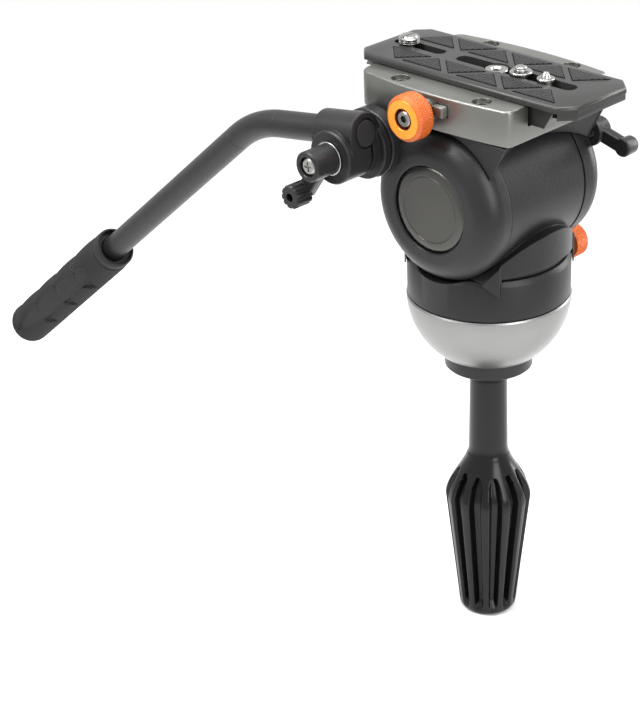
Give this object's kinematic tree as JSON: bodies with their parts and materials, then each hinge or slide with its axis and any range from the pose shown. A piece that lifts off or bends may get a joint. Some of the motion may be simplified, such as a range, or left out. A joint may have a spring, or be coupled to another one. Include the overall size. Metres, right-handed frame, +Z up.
{
  "type": "fluid video head",
  "caption": "Fluid video head with a half-ball base, clamp handle below, tilt drum, sliding camera plate and bent pan bar on its right side.",
  "frame": {"origin": "centre of the half ball, on the plane of its lip", "axes": "+Z up along the pan axis, +Y towards the lens, +X to the operator's right, where the pan bar is"},
  "size_m": [0.1265, 0.3536, 0.2797],
  "materials": {
    "black_coat": "fine-textured black powder coat, soft sheen",
    "gloss_black": "smooth moulded black plastic",
    "dark_disc": "glossy dark grey anodised disc",
    "brushed_silver": "fine turned, brushed",
    "warm_grey": "bead-blasted warm silver-grey",
    "dark_anodised": "dark grey anodised",
    "bright_steel": "machined bright steel",
    "orange_metal": "orange anodised, knurled rim",
    "black_rubber": "matt ribbed rubber",
    "brass_metal": "turned brass",
    "white_plastic": "natural moulded plastic"
  },
  "bodies": {
    "base": {"half_ball": "brushed_silver", "pan_spindle": "bright_steel", "pan_bearing": "bright_steel", "pan_drag_stator": "white_plastic", "spindle_nut": "bright_steel", "clamp_stud": "bright_steel"},
    "cup": {"clamp_cup": "black_coat"},
    "handle": {"clamp_grip": "gloss_black", "grip_nut": "brass_metal"},
    "pan": {"pan_housing": "black_coat", "pan_body": "black_coat", "pan_drag_rotor": "white_plastic", "pan_brake_shoe": "black_rubber", "left_tilt_bearing": "bright_steel", "tilt_drag_cartridge": "dark_anodised", "counterbalance_spring": "bright_steel", "right_tilt_bearing": "bright_steel"},
    "pan_lock": {"pan_lock_knob": "orange_metal", "pan_lock_screw": "bright_steel"},
    "tilt": {"right_cheek": "black_coat", "left_cheek": "black_coat", "tilt_saddle": "black_coat", "tilt_axle": "bright_steel", "right_badge": "dark_disc", "left_badge": "dark_disc", "receiver": "warm_grey", "receiver_screw_1": "bright_steel", "receiver_screw_2": "bright_steel", "receiver_screw_3": "bright_steel", "receiver_screw_4": "bright_steel", "stop_pin": "bright_steel"},
    "jaw": {"clamping_jaw": "dark_anodised"},
    "plate_lock": {"plate_lock_knob": "orange_metal", "plate_lock_screw": "bright_steel"},
    "catch": {"safety_catch": "warm_grey"},
    "tilt_lock": {"tilt_lock_lever": "black_coat", "tilt_lock_screw": "bright_steel"},
    "plate": {"camera_plate": "dark_anodised", "plate_bush": "bright_steel", "grip_pad_1": "black_rubber", "grip_pad_2": "black_rubber", "grip_pad_3": "black_rubber", "grip_pad_4": "black_rubber", "grip_pad_5": "black_rubber", "grip_pad_6": "black_rubber", "grip_pad_7": "black_rubber", "grip_pad_8": "black_rubber", "grip_pad_9": "black_rubber", "grip_pad_10": "black_rubber", "grip_pad_11": "black_rubber", "grip_pad_12": "black_rubber"},
    "quarter_screw": {"camera_screw": "bright_steel"},
    "pin": {"video_pin": "bright_steel"},
    "three_eighths_screw": {"accessory_screw": "bright_steel"},
    "bar_holder": {"bar_clamp": "black_coat"},
    "bar_lever": {"clamp_lever": "black_coat", "clamp_lever_screw": "bright_steel"},
    "bar": {"pan_bar": "black_coat", "pan_bar_plug": "black_rubber", "pan_bar_grip": "black_rubber"}
  },
  "joints": [
    {"name": "cup_lift", "type": "slide", "parent": "base", "child": "cup", "axis": [0, 0, 1], "range_m": [-0.0064, 0]},
    {"name": "handle_turn", "type": "hinge", "parent": "cup", "child": "handle", "pos_m": [0, 0, -0.09], "axis": [0, 0, 1], "range_deg": [-1440, 0]},
    {"name": "pan_turn", "type": "hinge", "parent": "base", "child": "pan", "pos_m": [0, 0, 0.0196], "axis": [0, 0, 1], "continuous": true},
    {"name": "pan_lock_turn", "type": "hinge", "parent": "pan", "child": "pan_lock", "pos_m": [-0.0432, 0.012, 0.0125], "axis": [1, 0, 0], "range_deg": [0, 360]},
    {"name": "tilt_turn", "type": "hinge", "parent": "pan", "child": "tilt", "pos_m": [0, 0, 0.051], "axis": [1, 0, 0], "range_deg": [-65, 65]},
    {"name": "jaw_slide", "type": "slide", "parent": "tilt", "child": "jaw", "axis": [1, 0, 0], "range_m": [0, 0.0012]},
    {"name": "plate_lock_turn", "type": "hinge", "parent": "tilt", "child": "plate_lock", "pos_m": [0.0455, -0.004, 0.0945], "axis": [1, 0, 0], "range_deg": [0, 541]},
    {"name": "catch_press", "type": "slide", "parent": "tilt", "child": "catch", "axis": [-1, 0, 0], "range_m": [0, 0.002], "stiffness_N_per_m": 400, "springref_m": -0.001},
    {"name": "tilt_lock_turn", "type": "hinge", "parent": "tilt", "child": "tilt_lock", "pos_m": [-0.039, 0.0288, 0.0722], "axis": [1, 0, 0], "range_deg": [-30, 45]},
    {"name": "plate_slide", "type": "slide", "parent": "tilt", "child": "plate", "axis": [0, 1, 0], "range_m": [-0.0035, 0.02]},
    {"name": "quarter_screw_turn", "type": "hinge", "parent": "plate", "child": "quarter_screw", "pos_m": [0, 0.0175, 0.1], "axis": [0, 0, 1], "continuous": true},
    {"name": "pin_slide", "type": "slide", "parent": "plate", "child": "pin", "axis": [0, 1, 0], "range_m": [-0.0015, 0.011]},
    {"name": "three_eighths_screw_turn", "type": "hinge", "parent": "plate", "child": "three_eighths_screw", "pos_m": [0, -0.047, 0.1], "axis": [0, 0, 1], "continuous": true},
    {"name": "bar_swing", "type": "hinge", "parent": "tilt", "child": "bar_holder", "pos_m": [0.0545, -0.033, 0.0745], "axis": [1, 0, 0], "range_deg": [-40, 40]},
    {"name": "bar_lever_turn", "type": "hinge", "parent": "bar_holder", "child": "bar_lever", "pos_m": [0.0727, -0.033, 0.0745], "axis": [1, 0, 0], "range_deg": [-90, 90]},
    {"name": "bar_slide", "type": "slide", "parent": "bar_holder", "child": "bar", "axis": [0, 0.9877, 0.1564], "range_m": [-0.008, 0.006]}
  ],
  "couplings": [
    {"joint": "cup_lift", "follows": "handle_turn", "m_per_rad": 0.00025266},
    {"joint": "plate_lock_turn", "follows": "jaw_slide", "rad_per_m": 7854}
  ]
}
